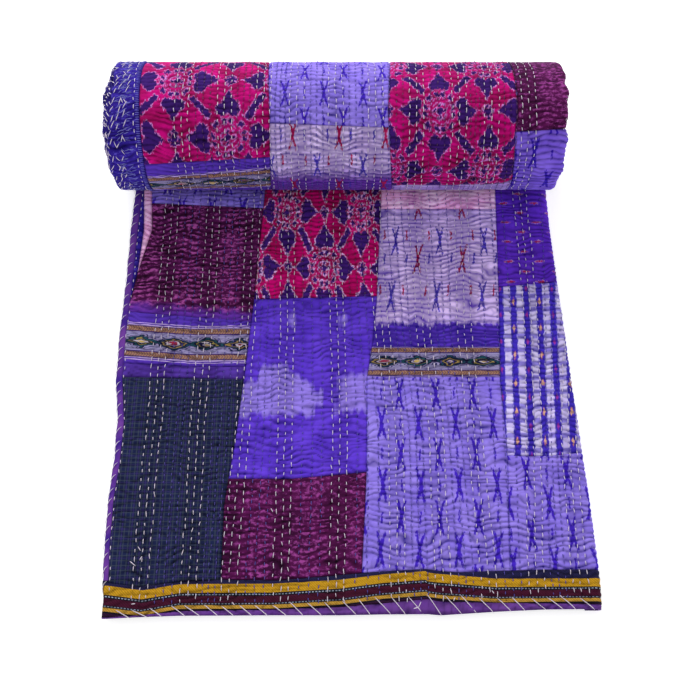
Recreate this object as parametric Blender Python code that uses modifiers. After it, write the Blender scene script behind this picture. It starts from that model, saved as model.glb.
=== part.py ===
"""Kantha quilt: folded in quarters lengthwise, then rolled up from its far end.

The quilt is one long cloth. Folding it in quarters makes a strip of four layers, joined in one
back-and-forth section: the top layer turns under at the right edge into the bottom layer, that turns
up at the left into the third, and that turns at the right, inside the first fold, into the second.
The strip lies flat on the floor and its far end is wound over the top of itself into a roll, so the
loose tail comes out from under the roll, towards -Y. All sizes are in metres, +Z is up, and the
origin is on the floor at the middle of the bounding box.
"""
import math
from typing import NamedTuple

import bmesh
import bpy
import numpy as np

# Driving dimensions
SHEET = 0.0021            # one quilted layer: two cotton faces with their running stitch
LAYER_GAP = 0.0006        # air between two folded layers
PIECE_GAP = 0.0004       # sewn pieces are separate solids, this far apart
TAIL_LENGTH = 0.622       # near edge of the tail to the line where the roll stands
ROLL_RADIUS = 0.0886      # wound form at its foot, outside the turn that becomes the tail
TURN_PITCH = 0.0108       # one turn of the four layers
TURNS = 7
BORDER_WIDTH = 0.0400     # woven border band across the near end
HEM_WIDTH = 0.0110        # binding along the hemmed left edge
HEM_THICKNESS = 0.0024

# Quilting: the running stitch draws the cloth down in channels along its length
CHANNEL_PITCH = 0.0520
CHANNEL_HEIGHT = 0.0016
PUCKER_PITCH = 0.0640

# Rounding and relief of the wound ends
EDGE_ROUND = 0.0050       # how far a turn's edge stands out of the groove beside it
BULGE_POWER = 2.6         # the core slides out nearly flat, and the outer turns fall back from it
ROLL_STEPS = 44           # points round one turn
ROLL_STATIONS = 23        # points from end to end, two to a channel
TURN_PROFILE = ((0.0, -EDGE_ROUND), (0.28, 0.0), (0.72, 0.0), (1.0, -EDGE_ROUND))

# Layers, from the floor up
LAYER_RISE = SHEET + LAYER_GAP
Z_BOTTOM = SHEET / 2
Z_THIRD = Z_BOTTOM + LAYER_RISE
Z_SECOND = Z_THIRD + LAYER_RISE
Z_TOP = Z_SECOND + LAYER_RISE
STACK = Z_TOP + SHEET / 2
OUTER_FOLD = (Z_TOP - Z_BOTTOM) / 2
INNER_FOLD = LAYER_RISE / 2
FOLD_REACH = OUTER_FOLD + SHEET / 2


class EdgeRow(NamedTuple):
    """Outline of the tail at one distance from its near edge."""
    from_front: float
    left: float
    right: float


class FrontRow(NamedTuple):
    """Near edge at one place across the tail: how far it runs past the straight line, and the
    width of the purple binding that closes it."""
    across: float
    forward: float
    binding: float


class WoundEnd(NamedTuple):
    """One end of the roll: its side, where its outer turn ends, and how far the core slides out."""
    side: int
    limit: float
    bulge: float


ENDS = (
    WoundEnd(-1, -0.2780, 0.0300),
    WoundEnd(1, 0.2850, 0.0040),
)

EDGES = (
    EdgeRow(0.000, -0.2660, 0.2955),
    EdgeRow(0.035, -0.2715, 0.2970),
    EdgeRow(0.080, -0.2740, 0.2962),
    EdgeRow(0.135, -0.2755, 0.2952),
    EdgeRow(0.180, -0.2735, 0.2935),
    EdgeRow(0.235, -0.2750, 0.2920),
    EdgeRow(0.290, -0.2825, 0.2895),
    EdgeRow(0.350, -0.2840, 0.2880),
    EdgeRow(0.440, -0.2830, 0.2848),
    EdgeRow(0.520, -0.2840, 0.2826),
    EdgeRow(0.622, -0.2830, 0.2830),
)

FRONT = (
    FrontRow(0.00, 0.0040, 0.0030),
    FrontRow(0.18, 0.0005, 0.0035),
    FrontRow(0.42, 0.0000, 0.0050),
    FrontRow(0.62, -0.0015, 0.0100),
    FrontRow(0.68, 0.0005, 0.0075),
    FrontRow(0.85, -0.0065, 0.0060),
    FrontRow(1.00, -0.0060, 0.0040),
)

# How much further in each lower layer's left edge lies, and how far its near edge peeps out
LOWER_HEM_INSET = 0.0015
LEFT_FOLD_INSET = 0.0060
NEAR_PEEP = (0.0000, 0.0012, 0.0006, 0.0000)


def blend_rows(rows, key, value, at):
    """Read one column of a table between its rows."""
    return np.interp(at, [getattr(row, key) for row in rows], [getattr(row, value) for row in rows])


def pucker(across, along):
    """Height of the quilted face over its stitch lines, 0 to CHANNEL_HEIGHT: channels between the
    stitch lines, swelling and sinking unevenly along the cloth."""
    channel = 0.5 - 0.5 * np.cos(2 * math.pi * across / CHANNEL_PITCH)
    wave = np.sin(2 * math.pi * along / PUCKER_PITCH + 9.0 * across)
    drift = np.sin(2 * math.pi * along / (2.7 * PUCKER_PITCH) - 14.0 * across)
    return CHANNEL_HEIGHT * (0.30 + 0.45 * channel + 0.15 * wave * channel + 0.10 * drift)


def material(name, colour, roughness):
    made = bpy.data.materials.new(name)
    made.use_nodes = True
    shader = made.node_tree.nodes["Principled BSDF"]
    shader.inputs["Base Color"].default_value = (*colour, 1.0)
    shader.inputs["Roughness"].default_value = roughness
    shader.inputs["Metallic"].default_value = 0.0
    return made


def add_mesh(name, vertices, faces, collection, finish):
    mesh = bpy.data.meshes.new(name)
    mesh.from_pydata([tuple(v) for v in vertices], [], faces)
    made = bpy.data.objects.new(name, mesh)
    collection.objects.link(made)
    mesh.materials.append(finish)
    return made


def grid_faces(rows, columns):
    """Quads of an open grid whose points are numbered row by row."""
    return [(r * columns + c, r * columns + c + 1, (r + 1) * columns + c + 1, (r + 1) * columns + c)
            for r in range(rows - 1) for c in range(columns - 1)]


def sheet_object(name, grid, thickness, collection, finish):
    """An open surface, one row of points for each station, given its thickness by Solidify."""
    rows, columns, _ = grid.shape
    made = add_mesh(name, grid.reshape(-1, 3), grid_faces(rows, columns), collection, finish)
    solidify = made.modifiers.new("thickness", "SOLIDIFY")
    solidify.thickness = thickness
    solidify.offset = 0.0
    solidify.use_even_offset = True
    solidify.use_rim = True
    return made


def quarter_fold(hem_inset):
    """Middle line of the four layers as one path, from the top layer's left edge to the second
    layer's left edge. Each point is (fraction from left to right, offset in x, height, layer)."""
    path = []

    def run(start, end, offsets, height, layer, count):
        for f in np.linspace(start, end, count):
            offset = offsets[0] + (offsets[1] - offsets[0]) * abs(f - start)
            path.append((f, offset, height, layer))

    def turn(f, centre_x, centre_z, radius, start, sweep, count, layer):
        for step in range(1, count):
            angle = math.radians(start + sweep * step / count)
            path.append((f, centre_x + radius * math.cos(angle),
                         centre_z + radius * math.sin(angle), layer))

    left_fold = LEFT_FOLD_INSET + INNER_FOLD + SHEET / 2
    middle = (Z_TOP + Z_BOTTOM) / 2
    run(0, 1, (hem_inset, -FOLD_REACH), Z_TOP, 3, 23)
    turn(1, -FOLD_REACH, middle, OUTER_FOLD, 90, -180, 7, 3)
    run(1, 0, (-FOLD_REACH, left_fold), Z_BOTTOM, 0, 5)
    turn(0, left_fold, (Z_BOTTOM + Z_THIRD) / 2, INNER_FOLD, -90, -180, 5, 0)
    run(0, 1, (left_fold, -FOLD_REACH), Z_THIRD, 1, 6)
    turn(1, -FOLD_REACH, middle, INNER_FOLD, -90, 180, 5, 1)
    run(1, 0, (-FOLD_REACH, hem_inset + LOWER_HEM_INSET), Z_SECOND, 2, 7)
    return np.array(path)


def tail_point(f, offset, height, layer, from_front):
    """Place one path point at a distance from the near edge: x between the wandering outlines, y
    with the near edge's own wander fading into the cloth, and z with the top layer's quilting."""
    left = blend_rows(EDGES, "from_front", "left", from_front)
    right = blend_rows(EDGES, "from_front", "right", from_front)
    x = left + (right - left) * f + offset
    forward = blend_rows(FRONT, "across", "forward", f)
    fade = np.clip(1 - from_front / 0.20, 0, 1) ** 2
    peep = np.take(NEAR_PEEP, layer.astype(int)) * np.clip(1 - from_front / 0.0025, 0, 1)
    y = from_front - forward * fade - peep
    pressed = np.clip((TAIL_LENGTH - 0.045 - from_front) / 0.03, 0, 1)
    top = (layer == 3) & (height >= Z_TOP - 1e-9)
    z = height + np.where(top, pucker(x, from_front) * pressed, 0)
    return np.stack([x, y, z], axis=-1)


def tail_grid(path, starts, ends, stations):
    """Stations from starts to ends, which may differ for each point across the path."""
    rows = []
    for share in np.linspace(0, 1, stations):
        from_front = starts + (ends - starts) * share
        rows.append(tail_point(path[:, 0], path[:, 1], path[:, 2], path[:, 3], from_front))
    return np.array(rows)


def turn_radius(angle):
    """Radius of the wound form, from its foot round the back and over the top: it loses one turn
    of cloth in each round."""
    return ROLL_RADIUS - TURN_PITCH * angle / (2 * math.pi)


def roll_point(x, radius, angle):
    """A point of the wound form. The angle starts at the foot and goes round by the back."""
    return (x, TAIL_LENGTH + radius * math.sin(angle), ROLL_RADIUS - radius * math.cos(angle))


def end_x(end, radius, angle, rise):
    """How far out a wound end reaches: its inner turns bulge, each turn's edge stands out by rise,
    and the turns sway a little from side to side."""
    bulge = end.bulge * (1 - (radius / ROLL_RADIUS) ** BULGE_POWER)
    sway = 0.0016 * math.sin(angle) + 0.0010 * math.sin(radius * 260)
    return end.limit + end.side * (bulge + rise + sway)


def end_face(points, faces, end):
    """One wound end: a ribbon along the spiral, a turn wide, with its edge standing out rounded and
    a groove where it meets the next turn, closed at the core by a fan."""
    first = len(points)
    columns = len(TURN_PROFILE)
    count = TURNS * ROLL_STEPS + 1
    for step in range(count):
        angle = 2 * math.pi * step / ROLL_STEPS
        for part, rise in TURN_PROFILE:
            radius = turn_radius(angle) - TURN_PITCH * part
            points.append(roll_point(end_x(end, radius, angle, rise), radius, angle))
    faces.extend(tuple(first + index for index in face) for face in grid_faces(count, columns))
    apex = len(points)
    points.append(roll_point(end_x(end, 0.0, 0.0, -EDGE_ROUND), 0.0008, math.pi / 2))
    core = [first + step * columns + columns - 1
            for step in range((TURNS - 1) * ROLL_STEPS, TURNS * ROLL_STEPS + 1)]
    core += [first + (count - 1) * columns + part for part in (2, 1, 0)]
    faces.extend((core[i], core[i + 1], apex) for i in range(len(core) - 1))


def wound_form(collection, finish):
    """The roll: its outer turn as a grid round the spiral, the step where the tail leaves it at
    its foot, and the two wound ends, welded into one closed skin."""
    points = []
    faces = []
    shares = np.linspace(0, 1, ROLL_STATIONS)
    for share in shares:
        for step in range(ROLL_STEPS + 1):
            angle = 2 * math.pi * step / ROLL_STEPS
            radius = turn_radius(angle)
            start, stop = (end_x(end, radius, angle, -EDGE_ROUND) for end in ENDS)
            x = start + (stop - start) * share
            lift = np.clip(min(x - start, stop - x) / 0.02, 0, 1)
            lift = lift * np.clip(math.sin(angle / 2) * 3 - 0.4, 0, 1)
            swell = float(pucker(np.array(x), ROLL_RADIUS * angle) * lift)
            points.append(roll_point(x, radius + swell, angle))
    faces.extend(grid_faces(len(shares), ROLL_STEPS + 1))
    step_first = len(points)
    for share in shares:
        for part, rise in TURN_PROFILE:
            radius = ROLL_RADIUS - TURN_PITCH * part
            start, stop = (end_x(end, radius, 0.0, rise) for end in ENDS)
            points.append(roll_point(start + (stop - start) * share, radius, 0.0))
    faces.extend(tuple(step_first + index for index in face)
                 for face in grid_faces(len(shares), len(TURN_PROFILE)))
    for end in ENDS:
        end_face(points, faces, end)
    made = add_mesh("wound_form", points, faces, collection, finish)
    work = bmesh.new()
    work.from_mesh(made.data)
    bmesh.ops.remove_doubles(work, verts=work.verts, dist=0.00001)
    bmesh.ops.recalc_face_normals(work, faces=work.faces)
    work.to_mesh(made.data)
    work.free()
    made.hide_render = True
    made.display_type = "WIRE"
    return made


def quilt(collection, cutters, finish):
    """The whole folded cloth as one solid: the tail's four layers run on into the roll's foot."""
    path = quarter_fold(HEM_WIDTH + PIECE_GAP)
    starts = np.full(len(path), BORDER_WIDTH)
    starts = starts + PIECE_GAP
    ends = np.full(len(path), TAIL_LENGTH + 0.012)
    tail = sheet_object("quilt", tail_grid(path, starts, ends, 21), SHEET, collection, finish)
    union = tail.modifiers.new("roll", "BOOLEAN")
    union.operation = "UNION"
    union.solver = "EXACT"
    union.object = wound_form(cutters, finish)
    return tail


def end_border(collection, finish):
    """The woven border band across the near end, in all four layers."""
    path = quarter_fold(0.0)
    seam = np.full(len(path), BORDER_WIDTH)
    binding = blend_rows(FRONT, "across", "binding", path[:, 0])
    return sheet_object("end_border", tail_grid(path, binding + PIECE_GAP, seam, 4), SHEET,
                        collection, finish)


def end_binding(collection, finish):
    """The narrow purple binding that closes the near edge, in all four layers."""
    path = quarter_fold(0.0)
    binding = blend_rows(FRONT, "across", "binding", path[:, 0])
    return sheet_object("end_binding", tail_grid(path, np.zeros(len(path)), binding, 2), SHEET,
                        collection, finish)


def side_binding(name, height, inset, collection, finish):
    """Purple binding along a hemmed left edge: a flat bar, crowned in the middle."""
    across = ((0.0, 0.0), (0.33, 0.0003), (0.67, 0.0003), (1.0, 0.0))
    length = np.linspace(BORDER_WIDTH + PIECE_GAP, TAIL_LENGTH - 0.015, 21)
    rows = []
    half = HEM_THICKNESS / 2
    for from_front in length:
        left = blend_rows(EDGES, "from_front", "left", from_front) + inset
        rows.append([(left + half + (HEM_WIDTH - 2 * half) * f, from_front, height + rise)
                     for f, rise in across])
    made = sheet_object(name, np.array(rows), HEM_THICKNESS, collection, finish)
    return made


def stand_on_origin(parts, helpers):
    """Move everything so that the box of the parts is centred on the origin in x and y."""
    bpy.context.view_layer.update()
    depsgraph = bpy.context.evaluated_depsgraph_get()
    corners = []
    for part in parts:
        mesh = part.evaluated_get(depsgraph).to_mesh()
        found = np.empty(len(mesh.vertices) * 3)
        mesh.vertices.foreach_get("co", found)
        corners.append(found.reshape(-1, 3))
    corners = np.concatenate(corners)
    middle = (corners.min(axis=0) + corners.max(axis=0)) / 2
    for thing in (*parts, *helpers):
        thing.location.x = -middle[0]
        thing.location.y = -middle[1]
    return middle


def main():
    for old in list(bpy.data.objects):
        bpy.data.objects.remove(old)
    parts = bpy.data.collections.new("kantha_quilt")
    cutters = bpy.data.collections.new("cutters")
    bpy.context.scene.collection.children.link(parts)
    bpy.context.scene.collection.children.link(cutters)
    patchwork = material("violet patchwork cotton", (0.105, 0.040, 0.420), 0.85)
    border = material("gold and black woven border", (0.420, 0.260, 0.020), 0.70)
    binding = material("purple cotton binding", (0.110, 0.030, 0.360), 0.85)
    made = [
        quilt(parts, cutters, patchwork),
        end_border(parts, border),
        end_binding(parts, binding),
        side_binding("side_binding_top", Z_TOP + 0.0002, 0.0, parts, binding),
        side_binding("side_binding_lower", Z_SECOND - 0.0001, LOWER_HEM_INSET, parts, binding),
    ]
    stand_on_origin(made, list(cutters.objects))


main()
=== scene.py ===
"""Looks of the kantha quilt: patchwork, running stitch, borders, bindings and the wound roll."""
import math
from typing import NamedTuple

import bpy
import numpy as np
from mathutils import Euler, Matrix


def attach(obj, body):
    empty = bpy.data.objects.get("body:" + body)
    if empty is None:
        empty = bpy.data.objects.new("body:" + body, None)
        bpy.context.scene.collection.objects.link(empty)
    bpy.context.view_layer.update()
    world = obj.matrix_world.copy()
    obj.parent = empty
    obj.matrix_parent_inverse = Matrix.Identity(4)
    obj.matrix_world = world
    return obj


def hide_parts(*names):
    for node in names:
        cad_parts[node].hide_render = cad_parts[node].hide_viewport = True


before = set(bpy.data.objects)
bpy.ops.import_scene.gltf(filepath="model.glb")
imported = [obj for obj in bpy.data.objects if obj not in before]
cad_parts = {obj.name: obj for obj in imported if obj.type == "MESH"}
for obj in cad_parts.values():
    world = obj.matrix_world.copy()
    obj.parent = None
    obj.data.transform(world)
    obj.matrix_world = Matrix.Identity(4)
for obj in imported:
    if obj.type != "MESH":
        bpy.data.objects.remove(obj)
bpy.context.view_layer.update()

# Sizes of the folded cloth, in metres, as the frame has them
PLACE_X = 0.00617          # the tail's own middle line, in the frame
NEAR_EDGE_Y = -0.35203     # the straight line that the near edge wanders about
SHEET = 0.0021
LAYER_GAP = 0.0006
LAYER_RISE = SHEET + LAYER_GAP
TAIL_LENGTH = 0.622
ROLL_RADIUS = 0.0886
ROLL_AXIS_Y = NEAR_EDGE_Y + 0.6208
TURN_PITCH = 0.0108
TURNS = 7
WHIP_PITCH = 0.0155        # between whip stitches on the side hem
HEM_THICK = 0.0036
Z_BOTTOM = SHEET / 2
Z_THIRD = Z_BOTTOM + LAYER_RISE
Z_SECOND = Z_THIRD + LAYER_RISE
Z_TOP = Z_SECOND + LAYER_RISE
HEM_Z = Z_TOP + 0.0004
STACK = Z_TOP + SHEET / 2
FOLD_RADIUS = STACK / 2            # outside of the fold at the right edge
SMALL_FOLD = LAYER_RISE / 2 + SHEET / 2
ROLL_MEAN = 0.0838                 # arc lengths on the roll's face are measured at this radius
ROLL_SINK = 0.0018                 # how far the patches press into the roll
MM = 0.001

# Camera fitted to the photo's perspective; it looks this many degrees down
FOCAL_PIXELS = 1000
FRAME_PIXELS = 680
LOOK_DOWN = 63.9
EYE = (PLACE_X, -0.57153, 1.163)

# Grid steps across the cloth: figured patches need the finer one to hold their motifs
FINE = 0.00130
PLAIN = 0.00190
COARSE = 0.0060

# Materials: the width that threads are drawn at, coarser than life because real ones of 0.4 mm
# are too fine to show, and the painted shade of mid-height cloth and painted highlight of ridges
DRAWN_THREAD = 1.5 * MM
MIDDLE_SHADE = (0.88, 0.88, 0.88, 1)
CREST_HIGHLIGHT = (1.50, 1.50, 1.50, 1)


def table(names, *rows):
    """Columns of a table by name, from its rows."""
    return dict(zip(names.split(), np.array(rows).T))


# Outline of the tail by distance from its near edge, about its middle line
EDGES = table(
    "from_front left right",
    (0.000, -0.2660, 0.2955), (0.035, -0.2722, 0.2970), (0.080, -0.2750, 0.2962),
    (0.135, -0.2762, 0.2952), (0.180, -0.2741, 0.2935), (0.235, -0.2750, 0.2920),
    (0.290, -0.2825, 0.2895), (0.350, -0.2840, 0.2880), (0.440, -0.2830, 0.2848),
    (0.520, -0.2840, 0.2826), (0.622, -0.2830, 0.2830))

# Near edge: how far it runs past the straight line, the binding's width there, and where the
# gold stripe of the border begins
FRONT = table(
    "x forward binding gold",
    (-0.260, 0.0040, -0.0008, 0.0340), (-0.219, 0.0020, 0.0002, 0.0275),
    (-0.176, 0.0005, 0.0030, 0.0335), (-0.072, 0.0000, 0.0045, 0.0335),
    (0.006, 0.0000, 0.0070, 0.0380), (0.056, -0.0010, 0.0105, 0.0437),
    (0.1045, -0.0012, 0.0150, 0.0472), (0.1062, -0.0012, 0.0150, 0.0456),
    (0.120, 0.0000, 0.0135, 0.0448), (0.184, -0.0040, 0.0082, 0.0368),
    (0.240, -0.0065, 0.0052, 0.0352), (0.299, -0.0070, 0.0036, 0.0352))

# Where the three long seams of the tail lie, by distance from the near edge
SEAMS = table(
    "from_front one two three",
    (0.000, -0.1300, 0.0290, 0.2000), (0.040, -0.1305, 0.0310, 0.2020),
    (0.125, -0.1315, 0.0360, 0.2060), (0.165, -0.1272, 0.0382, 0.2085),
    (0.210, -0.1216, 0.0390, 0.2095), (0.290, -0.1148, 0.0402, 0.2076),
    (0.345, -0.1110, 0.0485, 0.2110), (0.400, -0.1065, 0.0540, 0.2137),
    (0.550, -0.0985, 0.0620, 0.2200), (0.640, -0.0950, 0.0650, 0.2230))

# Middle thread of each white triple of stitch rows on the tail: (from the near edge, x)
TRIPLES = (
    ((0.060, -0.222), (0.222, -0.223), (0.519, -0.223)),
    ((0.060, -0.167), (0.222, -0.169), (0.519, -0.166)),
    ((0.060, -0.121), (0.222, -0.114), (0.519, -0.112)),
    ((0.060, -0.062), (0.222, -0.061), (0.519, -0.063)),
    ((0.060, 0.002), (0.222, 0.007), (0.519, -0.003)),
    ((0.060, 0.073), (0.222, 0.075), (0.353, 0.061), (0.519, 0.052)),
    ((0.060, 0.124), (0.222, 0.124), (0.353, 0.114), (0.519, 0.109)),
    ((0.060, 0.177), (0.222, 0.170), (0.353, 0.166), (0.519, 0.172)),
    ((0.060, 0.232), (0.222, 0.244), (0.353, 0.254), (0.519, 0.253)),
    ((0.060, 0.282), (0.222, 0.286), (0.330, 0.300), (0.519, 0.345)),
)

# Stray stitches on the tail: where they start and how far they run, in mm
LOOSE = table(
    "x from_front across along",
    (-236.5, 60.5, 7.0, -5.6), (-228.7, 77.2, 3.2, -4.6), (-223.1, 66.1, -2.4, -4.7),
    (-230.5, 12.5, 4.5, 0.4), (-116.5, 12.8, 3.2, -3.4), (89.5, 4.2, 6.0, 1.6),
    (95.2, 5.6, 3.0, 6.4), (9.6, 17.0, 2.0, -4.2), (-75.5, 122.0, 2.4, -4.4),
    (256.2, 15.0, 3.0, -4.2), (137.0, 17.2, -2.0, -4.4), (179.4, 22.9, 2.2, -4.0))

# Middle thread of each white triple round the roll, by x
ROLL_TRIPLES = (-0.192, -0.139, -0.090, -0.047, 0.001, 0.051, 0.103, 0.155, 0.197, 0.243)
ROW_PITCH = 0.0088          # between the rows of a triple
CREASE_PITCH = 0.0072
DENT_PITCH = 0.0082         # between the dents that a row of stitches leaves

# Running stitches: length and gap in mm, and how far their middles stand up, in metres
WHITE = (6.2, 4.4, 0.0006)
TONAL = (4.4, 3.8, 0.0005)


def column(rows, key, value, at):
    """Read one column of a table between its rows."""
    return np.interp(at, rows[key], rows[value])


def value_noise(u, v, seed):
    """Smooth noise from -1 to 1: a random height at each whole step of u and v, blended between
    the four nearest by the curve t*t*(3 - 2t)."""
    heights = np.random.default_rng(seed).uniform(-1, 1, (97, 211))
    iu = np.floor(u).astype(int)
    iv = np.floor(v).astype(int)
    tu, tv = (t * t * (3 - 2 * t) for t in (u - iu, v - iv))
    low, high = (heights[iu % 97, row % 211] * (1 - tu) + heights[(iu + 1) % 97, row % 211] * tu
                 for row in (iv, iv + 1))
    return low * (1 - tv) + high * tv


def unit(vectors):
    return vectors / np.maximum(np.linalg.norm(vectors, axis=-1, keepdims=True), 1e-9)


def joined(*parts):
    """Coordinates as one array of points."""
    return np.stack(np.broadcast_arrays(*parts), axis=-1)


def run_length(points):
    """Length along a line of points, at each of them."""
    return np.cumsum(np.r_[0, np.linalg.norm(np.diff(points, axis=0), axis=-1)])


def wrap(offset, pitch):
    """Offset from the nearest of the marks that lie a pitch apart."""
    return offset - pitch * np.round(offset / pitch)


def line_at(points, at):
    return np.interp(at, [p[0] for p in points], [p[1] for p in points])


def triple_middles(v, on_roll):
    """Where the middle threads of the white triples lie at distance v."""
    if on_roll:
        return [np.full(np.shape(v), x) for x in ROLL_TRIPLES]
    return [line_at(line, v) for line in TRIPLES]


def stitch_rows(u, v, on_roll):
    """For points across the cloth: distance to the nearest middle thread of a white triple,
    distance to the nearest row of any stitches, and that row's number."""
    middles = triple_middles(v, on_roll)
    rows = [middles[0] - ROW_PITCH, middles[-1], middles[-1] + ROW_PITCH]
    for one, two in zip(middles, middles[1:]):
        between = two - one - 2 * ROW_PITCH
        rows += [one, one + ROW_PITCH, two - ROW_PITCH]
        rows += [one + ROW_PITCH + between * part for part in (0.25, 0.5, 0.75)]
    off = np.abs(u - np.stack(rows))
    nearest = np.min([np.abs(u - middle) for middle in middles], axis=0)
    return nearest, off.min(axis=0), off.argmin(axis=0)


def relief(u, v, on_roll):
    """Height of the quilted face, in metres. Creases wander across the cloth 7 mm apart, where
    stitches draw it up: h = 1 - depth * (1 - |sin(pi * phase)|^0.65). Small puckers lie between
    them, every stitch sits in a dent, and low channels follow the white rows. On the front of
    the roll the creases gather into deeper folds."""
    bend = 1.05 * value_noise(u / 0.034, v / 0.024, 11)
    bend = bend + 0.40 * value_noise(u / 0.012, v / 0.010, 12)
    ridge = np.abs(np.sin(math.pi * (v / CREASE_PITCH + bend))) ** 0.65
    depth = 0.62 + 0.38 * value_noise(u / 0.021, v / 0.012, 13)
    small = np.abs(value_noise(u / 0.0080, v / 0.0034 + bend, 14)) ** 0.6
    triple, row, number = stitch_rows(u, v, on_roll)
    beat = np.sin(2 * math.pi * (v / DENT_PITCH + 0.37 * number))
    dent = np.exp(-(row / 0.0011) ** 2) * np.clip(0.4 + beat, 0, 1)
    channel = 0.5 - 0.5 * np.cos(math.pi * np.clip(triple / 0.026, 0, 1))
    grow = np.interp(v / ROLL_MEAN, [3.2, 4.3, 5.2], [0.7, 1.2, 1.5]) if on_roll else 1.0
    height = 1.9 - 1.9 * grow * depth * (1 - ridge) + 0.6 * small + 0.35 * channel - 0.7 * dent
    return MM * np.maximum(height, -1.2 if on_roll else 0.05)


def near_y(x, s):
    """Where the cloth lies along y, s from its near edge, whose wandering fades further in."""
    fade = np.clip(1 - s / 0.20, 0, 1) ** 2
    return NEAR_EDGE_Y + s - column(FRONT, "x", "forward", x) * fade


def edge_x(side, s):
    return column(EDGES, "from_front", side, s) + PLACE_X


def outer_radius(angle):
    """Outside of the spiral, angle being counted from the foot of its outermost turn."""
    return ROLL_RADIUS - TURN_PITCH * angle / (2 * math.pi)


def tail_face(x, s, rise):
    """Upper face of the tail. s runs from the near edge, x across; past the right edge x is the
    length round the outer fold, a half circle, and then back along the floor side."""
    edge = edge_x("right", s) - FOLD_RADIUS
    around = np.clip((x - edge) / FOLD_RADIUS, 0, math.pi)
    past = np.maximum(x - edge - FOLD_RADIUS * math.pi, 0)
    reach = FOLD_RADIUS + rise
    px = np.minimum(x, edge) + reach * np.sin(around) - past
    pz = np.maximum(STACK / 2 + reach * np.cos(around), 0.0002)
    return joined(px, near_y(x, s), pz)


def roll_end(side, radius, angle):
    """How far out the wound ends reach: the core bulges at the hemmed left end, and that end's
    rim is drawn in at its top and foot."""
    limit, bulge, drawn, lumps = ((0.2835, 0.0190, 0.0115, 0.0016),
                                  (0.2850 + PLACE_X, 0.0040, 0.0, 0.0022))[side > 0]
    limit = limit - drawn * (1 - np.abs(np.sin(angle))) * (radius / ROLL_RADIUS) ** 4
    sway = 0.0016 * np.sin(angle) + 0.0010 * np.sin(radius * 260)
    sway = sway + lumps * value_noise(angle * 5.3, 0.0 * angle, 71)
    return side * (limit + bulge * (1 - np.clip(radius / ROLL_RADIUS, 0, 1) ** 3.2) + sway)


def roll_point(x, radius, angle):
    return joined(x, ROLL_AXIS_Y + radius * np.sin(angle), ROLL_RADIUS - radius * np.cos(angle))


def roll_face(x, v, rise):
    """Outer face of the roll. v is the length round it from its foot, by the back and over the
    top; past either end x runs round the fold of the outer turn, towards the axis."""
    angle = v / ROLL_MEAN
    rise = rise - ROLL_SINK
    outer = outer_radius(angle)
    right = roll_end(1, outer, angle) - FOLD_RADIUS
    left = roll_end(-1, outer, angle) + SMALL_FOLD
    turn_right = np.clip((x - right) / FOLD_RADIUS, 0, math.pi)
    turn_left = np.clip((left - x) / SMALL_FOLD, 0, math.pi)
    big = FOLD_RADIUS + rise
    small = SMALL_FOLD + rise
    px = np.clip(x, left, right) + big * np.sin(turn_right) - small * np.sin(turn_left)
    radius = outer + rise - (big * (1 - np.cos(turn_right)) + small * (1 - np.cos(turn_left)))
    lying = np.minimum(radius, ROLL_RADIUS / np.maximum(np.cos(angle), 0.2))
    return roll_point(px, np.where(np.cos(angle) > 0.2, lying, radius), angle)


def srgb(code):
    """Linear colour of an sRGB hex code."""
    parts = [int(code[i:i + 2], 16) / 255 for i in (1, 3, 5)]
    return (*(p / 12.92 if p <= 0.04045 else ((p + 0.055) / 1.055) ** 2.4 for p in parts), 1.0)


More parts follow.
